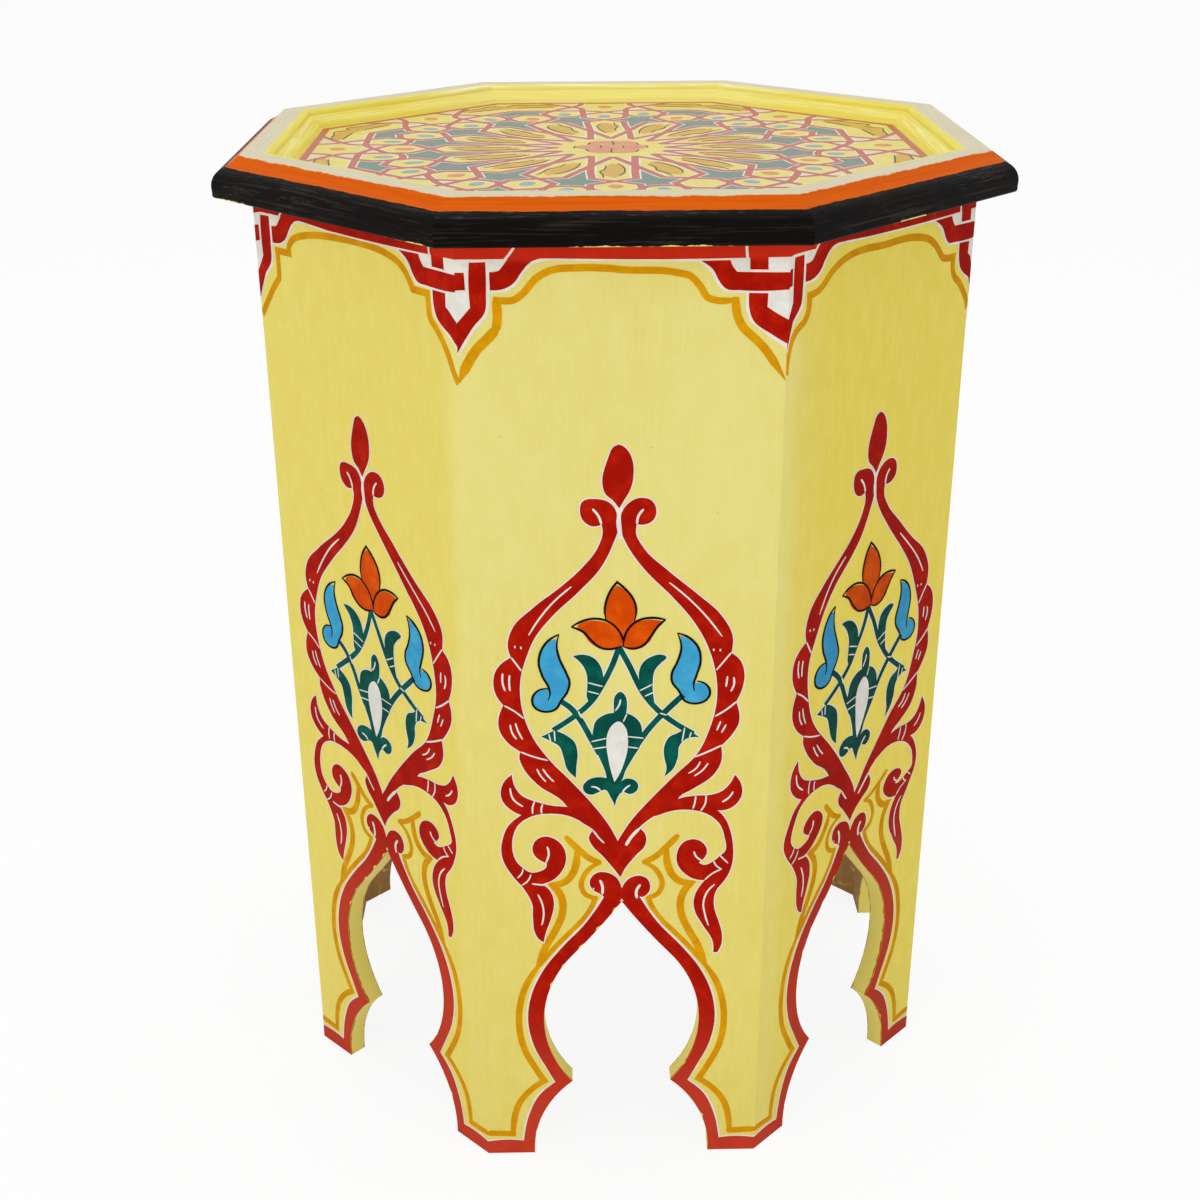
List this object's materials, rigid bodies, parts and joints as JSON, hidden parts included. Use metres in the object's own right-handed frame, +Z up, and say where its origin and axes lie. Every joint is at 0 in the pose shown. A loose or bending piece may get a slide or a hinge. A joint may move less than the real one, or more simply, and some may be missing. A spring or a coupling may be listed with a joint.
{
  "type": "octagonal side table",
  "caption": "Octagonal painted wood side table with arched side boards and a recessed top edged by a mitred moulding.",
  "frame": {"origin": "on the floor, at the centre of the table's footprint", "axes": "+Z up through the centre of the top; side 1 of the octagon faces -Y"},
  "size_m": [0.377, 0.377, 0.508],
  "materials": {
    "body_paint": "lemon-yellow satin paint on wood with red, ochre, blue and green ornament",
    "rim_paint": "semi-gloss paint in black, orange, cream and yellow bands",
    "top_paint": "painted star pattern under clear varnish",
    "bare_wood": "plain sawn softwood",
    "steel": "plain steel screws and nails"
  },
  "bodies": {
    "root": {"top_board": "top_paint", "side_panel_1": "body_paint", "side_panel_2": "body_paint", "side_panel_3": "body_paint", "side_panel_4": "body_paint", "side_panel_5": "body_paint", "side_panel_6": "body_paint", "side_panel_7": "body_paint", "side_panel_8": "body_paint", "rim_moulding_1": "rim_paint", "rim_moulding_2": "rim_paint", "rim_moulding_3": "rim_paint", "rim_moulding_4": "rim_paint", "rim_moulding_5": "rim_paint", "rim_moulding_6": "rim_paint", "rim_moulding_7": "rim_paint", "rim_moulding_8": "rim_paint", "top_cleat_1": "bare_wood", "top_cleat_2": "bare_wood", "top_cleat_3": "bare_wood", "top_cleat_4": "bare_wood", "top_cleat_5": "bare_wood", "top_cleat_6": "bare_wood", "top_cleat_7": "bare_wood", "top_cleat_8": "bare_wood", "corner_block_1": "bare_wood", "corner_block_2": "bare_wood", "corner_block_3": "bare_wood", "corner_block_4": "bare_wood", "corner_block_5": "bare_wood", "corner_block_6": "bare_wood", "corner_block_7": "bare_wood", "corner_block_8": "bare_wood", "cleat_screws": "steel", "top_screws": "steel", "rim_nails": "steel"}
  },
  "joints": []
}
